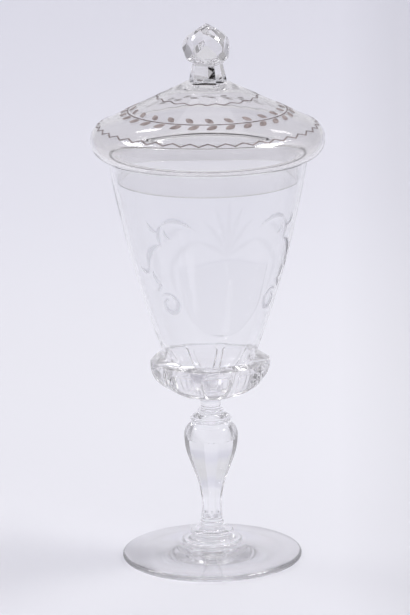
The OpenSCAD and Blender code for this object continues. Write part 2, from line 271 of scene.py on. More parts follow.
class Outline:
    """A closed profile turned about the axis, from the axis below to the axis above.

    A radius or height is a number or one number for each angle. A stretch of a hot joint has no surface of
    its own, because the glass runs through it.
    """

    def __init__(self, radius, height, angles=ROUND):
        self.angles = angles
        self.rings = [(radius, height)]
        self.bands = []

    def to(self, *points, band=GLASS):
        for radius, height in points:
            last_radius, last_height = self.rings[-1]
            way = np.hypot(np.subtract(radius, last_radius), np.subtract(height, last_height))
            if np.max(way) < TINY:
                continue
            self.rings.append((radius, height))
            self.bands.append(band)
        return self

    def solid(self, name, materials, crease=CREASE):
        turns = np.radians(self.angles)
        count = len(turns)
        verts, starts = [], []
        for radius, height in self.rings:
            starts.append(len(verts))
            if is_pole(radius):
                verts.append((0.0, 0.0, height))
                continue
            radii = np.broadcast_to(radius, count)
            heights = np.broadcast_to(height, count)
            verts.extend(zip(radii * np.sin(turns), -radii * np.cos(turns), heights))
        ends = starts[1:] + [len(verts)]
        faces, bands = [], []
        for i, band in enumerate(self.bands):
            low_pole = ends[i] - starts[i] == 1
            high_pole = ends[i + 1] - starts[i + 1] == 1
            for j in range(count):
                k = (j + 1) % count
                face = [starts[i] if low_pole else starts[i] + j]
                if not low_pole:
                    face.append(starts[i] + k)
                face.append(starts[i + 1] if high_pole else starts[i + 1] + k)
                if not high_pole:
                    face.append(starts[i + 1] + j)
                faces.append(face)
                bands.append(band)
        return glass_piece(name, verts, faces, bands, materials, crease)


def glass_piece(name, verts, faces, bands, materials, crease):
    """A smooth piece with sharp edges where its faces meet at more than the crease angle."""
    mesh = bpy.data.meshes.new(name)
    mesh.from_pydata([tuple(map(float, v)) for v in verts], [], faces)
    for material in materials:
        mesh.materials.append(material)
    mesh.polygons.foreach_set("material_index", bands)
    mesh.shade_smooth()
    mesh.set_sharp_from_angle(angle=math.radians(crease))
    mesh.update()
    return add_object(name, mesh)


def flats(count, turn, angles=ROUND):
    """How much further out than its flats a many-sided ring lies at each angle."""
    step = 360 / count
    return 1 / np.cos(np.radians((angles - turn + step / 2) % step - step / 2))


def ribbed_angles(count, turn, reach):
    """Angles round a many-sided ring with its corners ground to flat ribs, the ribs' edges among them."""
    step = 360 / count
    half = math.radians(step / 2)
    edge = math.degrees(math.atan((reach - math.cos(half)) / math.sin(half)))
    panel = np.linspace(-edge, edge, PANEL_STEPS + 1)
    rib = np.linspace(edge, step - edge, RIB_STEPS + 1)[1:-1]
    side = np.concatenate([panel, rib])
    return np.sort(np.concatenate([turn + step * i + side for i in range(count)]))


def ribbed_flats(count, turn, reach, angles):
    """Like flats, with a flat rib at each corner, whose reach is how much further out it lies."""
    return np.minimum(flats(count, turn, angles), reach * flats(count, turn + 180 / count, angles))


# Materials: waves are the scale and the strength of glass's unevenness, tints and golds are colours

BLOWN_WAVES = (30.0, 0.12)
CUT_WAVES = (60.0, 0.03)
CLEAR_TINT = (0.985, 0.987, 0.992, 1)
COVER_TINT = (0.952, 0.945, 0.937, 1)
HEAVY_TINT = (0.92, 0.915, 0.92, 1)
# Painted shade: the foot's glass is greyed so that the foot shows darker than the floor round it, as if
# shaded
FOOT_PAINTED_SHADE = (0.77, 0.765, 0.775, 1)
MATT_TINT = (0.78, 0.78, 0.80, 1)
SHADOW_TINT = (0.75, 0.75, 0.76, 1)
GLASS_IOR = 1.5
GLASS_WEAR = 0.01
WAVES_DETAIL = 1.0
WEAR_SCALE = 300.0
WEAR_DETAIL = 4.0
WEAR_RANGE = (0.55, 0.8)
MATT_ROUGHNESS = 0.3
LEAF_GOLDS = ((0.24, 0.195, 0.19, 1), (0.48, 0.41, 0.395, 1))
LINE_GOLDS = ((0.13, 0.105, 0.105, 1), (0.34, 0.29, 0.285, 1))
RUBBED_SCALE = 420.0
RUBBED_DETAIL = 5.0
RUBBED_RANGE = (0.35, 0.7)
GILT_ROUGHNESS = (0.35, 0.6)
GILT_METALLIC = 0.4


def new_material(name):
    material = bpy.data.materials.new(name)
    material.use_nodes = True
    nodes = material.node_tree.nodes
    return material, nodes, material.node_tree.links, nodes["Principled BSDF"]


def mottle(nodes, links, detail, scale=1.0):
    """Noise that is fixed to the surface."""
    place = nodes.new("ShaderNodeTexCoord")
    noise = nodes.new("ShaderNodeTexNoise")
    noise.inputs["Scale"].default_value = scale
    noise.inputs["Detail"].default_value = detail
    links.new(place.outputs["Object"], noise.inputs["Vector"])
    return noise


def ranged(nodes, links, value, source=(0, 1), target=(0, 1), easing="LINEAR"):
    """A value carried over from a source range to a target range."""
    scale = nodes.new("ShaderNodeMapRange")
    scale.interpolation_type = easing
    for name, number in zip(("From Min", "From Max", "To Min", "To Max"), (*source, *target)):
        scale.inputs[name].default_value = number
    links.new(value, scale.inputs["Value"])
    return scale.outputs["Result"]


def either(nodes, links, which, usual, other):
    """Gives a material the usual shader where a value is 0 and the other one where it is 1."""
    choice = nodes.new("ShaderNodeMixShader")
    links.new(which, choice.inputs["Fac"])
    links.new(usual.outputs["BSDF"], choice.inputs[1])
    links.new(other.outputs["BSDF"], choice.inputs[2])
    links.new(choice.outputs["Shader"], nodes["Material Output"].inputs["Surface"])


def hand_finish_group():
    """Hand-made glass: slow unevenness as a height for a bump, and marks of wear as a roughness."""
    group = bpy.data.node_groups.new("hand_finish", "ShaderNodeTree")
    for name in ("Scale", "Wear"):
        group.interface.new_socket(name, in_out="INPUT", socket_type="NodeSocketFloat")
    for name in ("Height", "Roughness"):
        group.interface.new_socket(name, in_out="OUTPUT", socket_type="NodeSocketFloat")
    nodes, links = group.nodes, group.links
    given = nodes.new("NodeGroupInput")
    out = nodes.new("NodeGroupOutput")
    waves = mottle(nodes, links, WAVES_DETAIL)
    links.new(given.outputs["Scale"], waves.inputs["Scale"])
    links.new(waves.outputs["Fac"], out.inputs["Height"])
    marks = mottle(nodes, links, WEAR_DETAIL, WEAR_SCALE)
    rub = nodes.new("ShaderNodeMath")
    rub.operation = "MULTIPLY"
    links.new(ranged(nodes, links, marks.outputs["Fac"], WEAR_RANGE), rub.inputs[0])
    links.new(given.outputs["Wear"], rub.inputs[1])
    links.new(rub.outputs["Value"], out.inputs["Roughness"])
    return group


HAND_FINISH = hand_finish_group()


def glass_material(name, waves, tint=CLEAR_TINT):
    """Clear glass with a faint shadow: a ray towards a lamp goes straight through, a little dimmed."""
    material, nodes, links, shader = new_material(name)
    shader.inputs["Base Color"].default_value = tint
    shader.inputs["Transmission Weight"].default_value = 1.0
    shader.inputs["IOR"].default_value = GLASS_IOR
    finish = nodes.new("ShaderNodeGroup")
    finish.node_tree = HAND_FINISH
    finish.inputs["Scale"].default_value = waves[0]
    finish.inputs["Wear"].default_value = GLASS_WEAR
    links.new(finish.outputs["Roughness"], shader.inputs["Roughness"])
    uneven = nodes.new("ShaderNodeBump")
    uneven.inputs["Strength"].default_value = waves[1]
    uneven.inputs["Distance"].default_value = MM
    links.new(finish.outputs["Height"], uneven.inputs["Height"])
    links.new(uneven.outputs["Normal"], shader.inputs["Normal"])
    kind = nodes.new("ShaderNodeLightPath")
    dimmed = nodes.new("ShaderNodeBsdfTransparent")
    dimmed.inputs["Color"].default_value = SHADOW_TINT
    either(nodes, links, kind.outputs["Is Shadow Ray"], shader, dimmed)
    return material


def joint_material():
    """Where two gathers were joined hot the glass is one, so the join doesn't show."""
    material, _, _, shader = new_material("hot_joint")
    shader.inputs["Alpha"].default_value = 0.0
    return material


def engraved_material():
    """Blown glass with a matt finish where the wheel has cut it."""
    material = glass_material("engraved_glass", BLOWN_WAVES)
    nodes, links = material.node_tree.nodes, material.node_tree.links
    shader = nodes["Principled BSDF"]
    cut = nodes.new("ShaderNodeAttribute")
    cut.attribute_name = "engraved"
    polish = shader.inputs["Roughness"].links[0].from_socket
    matt = nodes.new("ShaderNodeMath")
    matt.operation = "MULTIPLY_ADD"
    matt.inputs[1].default_value = MATT_ROUGHNESS
    links.new(cut.outputs["Fac"], matt.inputs[0])
    links.new(polish, matt.inputs[2])
    links.new(matt.outputs["Value"], shader.inputs["Roughness"])
    tone = nodes.new("ShaderNodeMix")
    tone.data_type = "RGBA"
    tone.inputs["A"].default_value = CLEAR_TINT
    tone.inputs["B"].default_value = MATT_TINT
    links.new(cut.outputs["Fac"], tone.inputs["Factor"])
    links.new(tone.outputs["Result"], shader.inputs["Base Color"])
    return material


def gilt_material(name, dark, light):
    """Fired gold, rubbed thin and dull by use."""
    material, nodes, links, shader = new_material(name)
    rubbed = mottle(nodes, links, RUBBED_DETAIL, RUBBED_SCALE)
    tone = nodes.new("ShaderNodeValToRGB")
    for stop, position, colour in zip(tone.color_ramp.elements, RUBBED_RANGE, (dark, light)):
        stop.position = position
        stop.color = colour
    links.new(rubbed.outputs["Fac"], tone.inputs["Fac"])
    links.new(tone.outputs["Color"], shader.inputs["Base Color"])
    dull = ranged(nodes, links, rubbed.outputs["Fac"], target=GILT_ROUGHNESS)
    links.new(dull, shader.inputs["Roughness"])
    shader.inputs["Metallic"].default_value = GILT_METALLIC
    return material


BLOWN_GLASS = glass_material("blown_glass", BLOWN_WAVES)
# The foot's glass, greyed with painted shade
FOOT_GLASS_PAINTED_SHADE = glass_material("foot_glass_painted_shade", BLOWN_WAVES, FOOT_PAINTED_SHADE)
COVER_GLASS = glass_material("cover_glass", BLOWN_WAVES, COVER_TINT)
ENGRAVED_GLASS = engraved_material()
LEAF_GILDING = gilt_material("worn_gilding", *LEAF_GOLDS)
LINE_GILDING = gilt_material("line_gilding", *LINE_GOLDS)
CUT_GLASS = glass_material("cut_glass", CUT_WAVES)
HEAVY_GLASS = glass_material("heavy_glass", CUT_WAVES, HEAVY_TINT)
HOT_JOINT = joint_material()
BLOWN = [BLOWN_GLASS, HOT_JOINT]
CUT = [CUT_GLASS, HOT_JOINT]
HEAVY = [HEAVY_GLASS, HOT_JOINT]


# The goblet's pieces

def foot():
    """Disc foot with a rounded edge, ground hollow below, with a ground pontil spot."""
    edge_r = FOOT_EDGE_H / 2
    edge_x = FOOT_R - edge_r
    rest_x = edge_x - FOOT_REST_W
    rise = BUTTON_Z - FOOT_EDGE_H
    way = np.linspace(0, 1, STEPS)
    spot = [(PONTIL_R * t, FOOT_HOLLOW_H + PONTIL_H * (1 - t * t)) for t in way]
    hollow = [(PONTIL_R + (rest_x - PONTIL_R) * t, FOOT_HOLLOW_H * (1 - t * t)) for t in way]
    top = [(edge_x + (BUTTON_R - edge_x) * t, FOOT_EDGE_H + rise * t ** FOOT_RISE_POWER)
           for t in np.linspace(0, 1, 2 * STEPS)]
    line = Outline(*spot[0]).to(*spot, *hollow, *arc((edge_x, edge_r), edge_r, -90, 90), *top)
    line.to((BUTTON_R - BUTTON_BAND_H / 2, BUTTON_Z)).to((0, BUTTON_Z), band=JOINT)
    return line.solid("foot_glass_painted_shade", [FOOT_GLASS_PAINTED_SHADE, HOT_JOINT])


def foot_button():
    """Flattened knop on the foot: a band, a hollow slope and a small disc."""
    band_r = BUTTON_BAND_H / 2
    slope_x = BUTTON_R - band_r
    slope_z = BUTTON_Z + BUTTON_BAND_H
    disc_r = BUTTON_DISC_H / 2
    disc_x = BUTTON_DISC_R - disc_r
    disc_z = COLLAR_Z - BUTTON_DISC_H
    line = Outline(0, BUTTON_Z).to((slope_x, BUTTON_Z), band=JOINT)
    line.to(*arc((slope_x, BUTTON_Z + band_r), band_r, -90, 90),
            *curve((slope_x - band_r / 2, slope_z), (disc_x, slope_z), (disc_x, disc_z)),
            *arc((disc_x, disc_z + disc_r), disc_r, -90, 90), (COLLAR_BASE_R, COLLAR_Z))
    return line.to((0, COLLAR_Z), band=JOINT).solid("button_glass", BLOWN)


def lower_collar():
    """Collar with a ring, between the button and the stem."""
    ring_r = COLLAR_RING_H / 2
    ring_z = COLLAR_Z + COLLAR_RING_RISE
    line = Outline(0, COLLAR_Z).to((COLLAR_BASE_R, COLLAR_Z), band=JOINT)
    line.to(*curve((COLLAR_BASE_R, COLLAR_Z), (STEM_LOW_R, COLLAR_Z), (STEM_LOW_R, ring_z - ring_r)),
            *arc((COLLAR_RING_R - ring_r, ring_z), ring_r, -COLLAR_RING_ARC, COLLAR_RING_ARC),
            (STEM_LOW_R, ring_z + ring_r), (STEM_LOW_R, STEM_Z))
    return line.to((0, STEM_Z), band=JOINT).solid("collar_glass", BLOWN)


def stem_radius(t):
    """Radius of the stem at a height t of its lower part, from 0 to 1."""
    slim = STEM_SLIM_H / (MERESE_Z - STEM_SHOULDER_H - STEM_Z)
    u = max(0, (t - slim) / (1 - slim))
    swell = (1 - math.cos(math.pi * u ** STEM_SWELL_POWER)) / 2
    return STEM_LOW_R + (STEM_SHOULDER_R - STEM_LOW_R) * swell


def stem():
    """Inverted baluster with a round shoulder and cut facets below it."""
    end_z = MERESE_Z - STEM_SHOULDER_H
    length = end_z - STEM_Z
    out = flats(STEM_FACETS, 180 / STEM_FACETS)
    line = Outline(0, STEM_Z).to((STEM_LOW_R, STEM_Z), band=JOINT)
    for t in np.linspace(0, 1, STEM_RINGS)[1:]:
        cut = smooth(t * length / STEM_FADE_H)
        flat = (stem_radius(t) - STEM_CUT_H) * math.cos(math.pi / STEM_FACETS) * out
        line.to((stem_radius(t) * (1 - cut) + flat * cut, STEM_Z + t * length))
    shoulder = curve((STEM_SHOULDER_R, end_z + STEM_LEDGE_H), (STEM_SHOULDER_R, MERESE_Z - STEM_BEND_H),
                     (STEM_TOP_R, MERESE_Z), MANY_STEPS)
    line.to(*shoulder).to((0, MERESE_Z), band=JOINT)
    return line.solid("stem_glass", CUT)


def merese():
    """Sharp-edged disc over the stem."""
    edge_z = MERESE_Z + MERESE_EDGE_RISE
    edge_r = MERESE_EDGE_H / 2
    edge_x = MERESE_R - edge_r
    ring_x = NECK_RING_R - NECK_RING_H / 2
    line = Outline(0, MERESE_Z).to((STEM_TOP_R, MERESE_Z), band=JOINT)
    line.to(*curve((STEM_TOP_R, MERESE_Z), (edge_x, MERESE_Z + edge_r), (edge_x, edge_z - edge_r)),
            *arc((edge_x, edge_z), edge_r, -90, 90),
            *curve((edge_x, edge_z + edge_r), (edge_x, NECK_Z - MERESE_EDGE_H), (NECK_RING_R, NECK_Z)),
            (ring_x, NECK_Z))
    return line.to((0, NECK_Z), band=JOINT).solid("merese_glass", BLOWN)


def neck_collar():
    """Short neck with a ring, between the merese and the calyx."""
    height = CALYX_Z - NECK_Z
    ring_r = NECK_RING_H / 2
    ring_x = NECK_RING_R - ring_r
    ring_top_z = NECK_Z + NECK_RING_H
    waist_z = NECK_Z + (height + NECK_RING_H) / 2
    spread_z = CALYX_Z - NECK_SPREAD_H
    line = Outline(0, NECK_Z).to((ring_x, NECK_Z), band=JOINT)
    line.to(*arc((ring_x, NECK_Z + ring_r), ring_r, -90, NECK_RING_ARC),
            *curve((NECK_WAIST_R + ring_r / 2, ring_top_z), (NECK_WAIST_R, ring_top_z),
                   (NECK_WAIST_R, waist_z)),
            *curve((NECK_WAIST_R, waist_z), (NECK_WAIST_R, spread_z), (NECK_TOP_R, CALYX_Z)))
    return line.to((0, CALYX_Z), band=JOINT).solid("neck_glass", BLOWN)


def bowl_radius(z):
    """Radius of the bowl's outside above its rounded base."""
    t = (z - BOWL_Z - BOWL_BASE_H) / (LIP_Z - BOWL_Z - BOWL_BASE_H)
    return BOWL_BASE_R + (BOWL_LIP_R - BOWL_BASE_R) * t + 4 * BOWL_SWELL * t * (1 - t)


def base_corner():
    """Where the wall's line at the base, carried down, meets the level of the seat."""
    run = BOWL_LIP_R - BOWL_BASE_R + 4 * BOWL_SWELL
    return BOWL_BASE_R - BOWL_BASE_H * run / (LIP_Z - BOWL_Z - BOWL_BASE_H)


def base_radius(h):
    """Radius of the bowl's rounded base at a height above its seat."""
    t = np.sqrt(h / BOWL_BASE_H)
    return (1 - t) ** 2 * BOWL_SEAT_R + 2 * t * (1 - t) * base_corner() + t * t * BOWL_BASE_R


CALYX_FLAT_R = CALYX_R * math.cos(math.pi / CALYX_PANELS)
CALYX_RIB_REACH = (CALYX_R - CALYX_RIB_W * math.tan(math.pi / CALYX_PANELS) / 2) / CALYX_FLAT_R
CROWN_ROUNDS = 20


def crown_height(angles):
    """Height above the bowl's seat at which the calyx's bevels reach the bowl, found in a few rounds."""
    out = flats(CALYX_PANELS, CALYX_TURN, angles)
    slope = CALYX_CROWN_H / (CALYX_FLAT_R - base_radius(CALYX_SEAT_H + CALYX_CROWN_H))
    height = np.full(len(angles), CALYX_SEAT_H + CALYX_CROWN_H)
    for _ in range(CROWN_ROUNDS):
        height = CALYX_SEAT_H + (CALYX_FLAT_R - base_radius(height) / out) * slope
    return height


def seat_curve(angles):
    """The bowl's rounded base where it sits in the calyx, from its flat bottom to the calyx's bevels."""
    top = crown_height(angles)
    return [(base_radius(top * t * t), BOWL_Z + top * t * t) for t in np.linspace(0, 1, 2 * STEPS)]


def panel_hollow(angles, radius, below_rim):
    """Where the calyx's panels are hollowed: 1 inside a panel and 0 on the ribs, the rim and the foot."""
    step = 360 / CALYX_PANELS
    off = np.abs((angles - CALYX_TURN + step / 2) % step - step / 2)
    half = radius * math.tan(math.radians(step / 2)) - CALYX_RIB_W / 2
    across = half - radius * np.tan(np.radians(off))
    corner = np.hypot(np.clip(PANEL_TOP_R - across, 0, None), max(PANEL_TOP_R - below_rim, 0))
    inside = np.minimum(PANEL_TOP_R - corner, np.minimum(across, radius - PANEL_FOOT_R))
    return smooth(inside / PANEL_EDGE_W)


def calyx():
    """Cut cup under the bowl: vaulted panels between ribs, an upright band and a low sloping shelf."""
    under_x = CALYX_FLAT_R - CALYX_UNDER_R
    floor_r = (under_x ** 2 + CALYX_DEPTH ** 2 - CALYX_UNDER_R ** 2) / (2 * (CALYX_DEPTH - CALYX_UNDER_R))
    band_z = BOWL_Z + CALYX_SEAT_H
    rim_z = band_z - CALYX_BAND_H
    floor_c = (0, rim_z + floor_r - CALYX_DEPTH)
    under_c = (under_x, rim_z)
    seat_a = -math.degrees(math.acos(NECK_TOP_R / floor_r))
    meet_a = -math.degrees(math.atan2(floor_r - CALYX_DEPTH, under_x))
    floor = [(floor_c, floor_r, a) for a in np.linspace(seat_a, meet_a, VAULT_STEPS + 1)[1:]]
    under = [(under_c, CALYX_UNDER_R, a) for a in np.linspace(meet_a, 0, VAULT_STEPS + 1)[1:]]
    angles = ribbed_angles(CALYX_PANELS, CALYX_TURN, CALYX_RIB_REACH)
    out = ribbed_flats(CALYX_PANELS, CALYX_TURN, CALYX_RIB_REACH, angles)
    line = Outline(0, CALYX_Z, angles).to((NECK_TOP_R, CALYX_Z), band=JOINT)
    for (centre_r, centre_z), bend_r, a in floor + under:
        lean, fall = math.cos(math.radians(a)), math.sin(math.radians(a))
        radius, height = centre_r + bend_r * lean, centre_z + bend_r * fall
        cut = smooth((radius - NECK_TOP_R) / CALYX_FADE_R)
        hollow = PANEL_HOLLOW_H * panel_hollow(angles, radius, rim_z - height)
        line.to((radius * (1 + (out - 1) * cut) - hollow * lean, height - hollow * fall))
    soft_c = (CALYX_FLAT_R - CALYX_SOFT_R, band_z - CALYX_SOFT_R)
    for radius, height in arc(soft_c, CALYX_SOFT_R, 0, CALYX_SOFT_ARC, SOFT_STEPS):
        line.to((radius * out, height))
    edge_r, edge_z = line.rings[-1]
    crown_r, crown_z = seat_curve(angles)[-1]
    for t in np.linspace(0, 1, SHELF_RINGS):
        line.to((edge_r + (crown_r - edge_r) * t, edge_z + (crown_z - edge_z) * t))
    line.to(*reversed(seat_curve(angles)), (0, BOWL_Z), band=JOINT)
    return line.solid("calyx_glass", HEAVY, CALYX_CREASE)


# Engraved cartouche, in degrees from its middle and millimetres up: strokes of one half, with their widths
HALF_STROKES = (
    (curve((22, 197), (35, 205.5), (44, 198)), 2.0),
    (curve((44, 198), (49.5, 193), (46, 186)), 1.9),
    (curve((42, 196), (43, 192), (38, 190.5)), 1.4),
    (curve((47, 194), (52, 193.5), (55, 199)), 1.7),
    (curve((47, 186.5), (60, 183.5), (61.5, 171)), 2.7),
    (curve((61.5, 172), (65, 166.5), (71, 171)), 1.8),
    (curve((58, 171), (57.5, 164.5), (51.5, 162.5)), 1.9),
    (curve((51.5, 162.5), (55.5, 161.5), (56.7, 158)), 1.5),
)
HALF_FILLS = (
    (curve((51, 184), (55, 175), (52, 165)), 5.5),
    (curve((30, 197), (37, 196), (43, 189)), 4.5),
    (curve((40, 151), (47, 148), (53, 152)), 5),
    (curve((20, 190), (32, 187), (40, 174)), 4),
    (curve((38, 180), (43, 170), (39, 160)), 3.5),
)
FILL_STRENGTH = 0.25
STROKE_END = 0.3
STROKE_MARGIN = 3
CUT_DEPTH = 0.2 * MM
CUT_MATT = 1.8
CARTOUCHE_TURN = 12.5

# The scroll that each half ends in
SPIRAL_MIDDLE = (47, 151.8)
SPIRAL_SIZE = (9.5, 6.6)
SPIRAL_START = 0.25
SPIRAL_TURNS = 1.1
SPIRAL_DRAW_IN = 0.55
SPIRAL_W = 2.1

# The fan of ribs over the shield
FAN_RIBS = 7
FAN_FOOT = 181
FAN_SIZE = (21, 31)
FAN_SPREAD = 72
FAN_BEND = (0.35, 0.6)
FAN_RIB_W = 3.2
FAN_STRENGTH = 0.2

# The bare shield
SHIELD_HALF = 34
SHIELD_TOP = 177
SHIELD_WAVE_H = 2.5
SHIELD_BEND = 156
SHIELD_FOOT = 133.5
SHIELD_EDGE_W = 0.9
SHIELD_DEPTH = 0.14 * MM
FIELD_MATT = 0.24
BORDER_MATT = 0.3

# The cut grows fainter to the right
FAINT_FROM = 15
FAINT_OVER = 35
FAINT_LOSS = 0.55

# The part of the bowl's wall that has a fine mesh, for the engraving
FINE_FIRST = -62
FINE_LAST = 88
FINE_LOW = (SHIELD_FOOT - 1) * MM
FINE_HIGH = (FAN_FOOT + FAN_SIZE[1] + 2) * MM
FINE_STEP = 0.55
COARSE_STEP = 2.5


def cartouche_strokes():
    """All strokes of the cartouche: both halves, with their scrolls, and a fan of ribs over the shield."""
    t = np.linspace(0, 1, SPIRAL_POINTS)
    wind = np.pi * (SPIRAL_START + 2 * SPIRAL_TURNS * t)
    draw_in = 1 - SPIRAL_DRAW_IN * t
    spiral = list(zip(SPIRAL_MIDDLE[0] + SPIRAL_SIZE[0] * draw_in * np.cos(wind),
                      SPIRAL_MIDDLE[1] + SPIRAL_SIZE[1] * draw_in * np.sin(wind)))
    half = [(line, width, 1) for line, width in HALF_STROKES + ((spiral, SPIRAL_W),)]
    half += [(line, width, FILL_STRENGTH) for line, width in HALF_FILLS]
    strokes = [(np.array(line) * (side, 1), width, strength)
               for side in (-1, 1) for line, width, strength in half]
    for spread in np.linspace(-1, 1, FAN_RIBS):
        a = spread * math.radians(FAN_SPREAD)
        tip = (FAN_SIZE[0] * math.sin(a), FAN_FOOT + FAN_SIZE[1] * math.cos(a))
        bend = (tip[0] * FAN_BEND[0], FAN_FOOT + (tip[1] - FAN_FOOT) * FAN_BEND[1])
        rib = curve((0, FAN_FOOT), bend, tip, MANY_STEPS)
        strokes.append((np.array(rib), FAN_RIB_W, FAN_STRENGTH))
    return strokes


def engraving(turn, z):
    """Depth of the cut, and how matt the glass is, at places on the bowl's wall."""
    across = turn - CARTOUCHE_TURN
    up = z / MM
    per_degree = math.pi / 180 * bowl_radius(z) / MM
    cut = np.zeros_like(across)
    for line, width, strength in cartouche_strokes():
        low, high = line.min(axis=0) - STROKE_MARGIN, line.max(axis=0) + STROKE_MARGIN
        near = (across > low[0]) & (across < high[0]) & (up > low[1]) & (up < high[1])
        here, rise, scale = across[near], up[near], per_degree[near]
        deep = np.zeros_like(here)
        for i, (a, h) in enumerate(line):
            swell = math.sin(math.pi * i / (len(line) - 1))
            half = width * (STROKE_END + (1 - STROKE_END) * swell)
            far = np.hypot((here - a) * scale, rise - h)
            deep = np.maximum(deep, smooth(1 - far / half))
        cut[near] = np.maximum(cut[near], deep * strength)
    bend = np.clip(SHIELD_BEND - up, 0, None) / (SHIELD_BEND - SHIELD_FOOT)
    rim = (1 - np.hypot(across / SHIELD_HALF, bend)) * SHIELD_HALF * per_degree
    top = SHIELD_TOP - up + SHIELD_WAVE_H * np.cos(np.radians(across * 180 / SHIELD_HALF))
    inside = np.minimum(rim, top) / SHIELD_EDGE_W
    field = smooth(inside)
    border = 1 - smooth(np.abs(inside))
    kept = 1 - FAINT_LOSS * smooth((across - FAINT_FROM) / FAINT_OVER)
    depth = np.maximum(cut * CUT_DEPTH * kept, field * SHIELD_DEPTH)
    return depth, np.maximum(smooth(CUT_MATT * cut), FIELD_MATT * field + BORDER_MATT * border)


def bowl():
    """Conical bowl that swells a little, engraved outside, with a rounded base in the calyx."""
    lip_r = BOWL_WALL / 2
    lip_c = (BOWL_LIP_R - lip_r, LIP_Z - lip_r)
    inside_z = BOWL_Z + BOWL_BOTTOM_H
    inside_base_z = BOWL_Z + BOWL_BASE_H + BOWL_WALL
    inside_base_x = bowl_radius(inside_base_z) - BOWL_WALL
    angles = np.concatenate([np.arange(FINE_FIRST, FINE_LAST, FINE_STEP),
                             np.arange(FINE_LAST, FINE_FIRST + 360, COARSE_STEP)])
    heights = np.concatenate([np.linspace(BOWL_Z + BOWL_BASE_H, FINE_LOW, BOWL_LOW_RINGS)[:-1],
                              np.arange(FINE_LOW, FINE_HIGH, FINE_STEP * MM),
                              np.linspace(FINE_HIGH, lip_c[1], BOWL_TOP_RINGS)])
    seat = seat_curve(angles)
    crown_h = seat[-1][1] - BOWL_Z
    base = [crown_h + (BOWL_BASE_H - crown_h) * t for t in np.linspace(0, 1, BOWL_BASE_RINGS)[1:-1]]
    wall, wall_matt = [], []
    for z in heights:
        depth, matt = engraving(angles, np.full_like(angles, z))
        wall.append((bowl_radius(z) - depth, z))
        wall_matt.append(matt)
    inside = [(bowl_radius(z) - BOWL_WALL, z)
              for z in np.linspace(lip_c[1], inside_base_z, BOWL_INSIDE_RINGS)]
    line = Outline(0, BOWL_Z, angles).to(*seat, band=JOINT)
    line.to(*[(base_radius(h), BOWL_Z + h) for h in base])
    first = len(line.rings)
    line.to(*wall, *arc(lip_c, lip_r, 0, 180), *inside,
            *curve((inside_base_x, inside_base_z), (base_corner() - BOWL_WALL / 2, inside_z),
                   (BOWL_FLOOR_R, inside_z), 2 * STEPS),
            (0, inside_z))
    piece = line.solid("bowl_glass", [ENGRAVED_GLASS, HOT_JOINT])
    values = []
    for i, (radius, _) in enumerate(line.rings):
        plain = np.zeros(1 if is_pole(radius) else len(angles))
        values.append(wall_matt[i - first] if first <= i < first + len(wall) else plain)
    layer = piece.data.attributes.new("engraved", "FLOAT", "POINT")
    layer.data.foreach_set("value", np.concatenate(values).astype(np.float32))
    return piece


# The cover's pieces

def cover():
    """Blown cover: a cone, a rolled rim, a level shelf and a flange inside the bowl."""
    edge_r = COVER_WALL / 2
    shelf_z = FLANGE_EDGE_Z + FLANGE_H
    flange_r = bowl_radius(FLANGE_EDGE_Z) - BOWL_WALL - FLANGE_PLAY
    roll_c = (COVER_R - COVER_ROLL_R, shelf_z + COVER_ROLL_R)
    inner_r = COVER_ROLL_R - COVER_WALL
    slope = math.tan(math.radians(COVER_SLOPE))
    inner_x = roll_c[0] + inner_r * math.sin(math.radians(COVER_SLOPE))
    inner_z = roll_c[1] + inner_r * math.cos(math.radians(COVER_SLOPE))
    crown_z = inner_z + (inner_x - COVER_TOP_R) * slope
    cone_x = 2 * COVER_TOP_R - COVER_CROWN_R
    cone_z = inner_z + (inner_x - cone_x) * slope
    line = Outline(0, crown_z)
    line.to(*curve((COVER_CROWN_R, crown_z), (COVER_TOP_R, crown_z), (cone_x, cone_z)))
    for t in np.linspace(0, 1, CONE_RINGS):
        radius = cone_x + (inner_x - cone_x) * t
        line.to((radius, inner_z + (inner_x - radius) * slope))
    fold_c = (flange_r - COVER_WALL + FLANGE_FOLD_R, shelf_z + COVER_WALL - FLANGE_FOLD_R)
    line.to(*arc(roll_c, inner_r, 90 - COVER_SLOPE, -90, ROLL_INSIDE_STEPS),
            *arc(fold_c, FLANGE_FOLD_R, 90, 180),
            *arc((flange_r - edge_r, FLANGE_EDGE_Z + edge_r), edge_r, -180, 0),
            *arc(fold_c, FLANGE_FOLD_R - COVER_WALL, 180, 90),
            *arc(roll_c, COVER_ROLL_R, -90, 90 - COVER_SLOPE, ROLL_OUTSIDE_STEPS))
    start_r, start_z = line.rings[-1]
    for t in np.linspace(0, 1, CONE_RINGS):
        radius = start_r + (COVER_TOP_R - start_r) * t
        line.to((radius, start_z + (start_r - radius) * slope))
    neck_flat = FINIAL_BASE_R * math.cos(math.pi / FINIAL_SIDES)
    line.to((neck_flat * flats(FINIAL_SIDES, FINIAL_NECK_TURN), COVER_TOP_Z))
    return line.to((0, COVER_TOP_Z), band=JOINT).solid("cover_glass", [COVER_GLASS, HOT_JOINT])


def finial_neck():
    """Five-sided neck, straight from base to waist and then spreading under the knob."""
    flat = math.cos(math.pi / FINIAL_SIDES)
    waist_z = COVER_TOP_Z + FINIAL_WAIST_H
    out = flats(FINIAL_SIDES, FINIAL_NECK_TURN) * flat
    line = Outline(0, COVER_TOP_Z).to((FINIAL_BASE_R * out, COVER_TOP_Z), band=JOINT)
    for t in np.linspace(0, 1, STEPS):
        radius = FINIAL_BASE_R + (FINIAL_WAIST_R - FINIAL_BASE_R) * t
        line.to((radius * out, COVER_TOP_Z + FINIAL_WAIST_H * t))
    for radius, z in ogee((FINIAL_WAIST_R, waist_z), (FINIAL_TOP_R, KNOB_Z)):
        line.to((radius * out, z))
    line.to((KNOB_FOOT_R, KNOB_Z)).to((0, KNOB_Z), band=JOINT)
    return line.solid("finial_neck_glass", HEAVY)


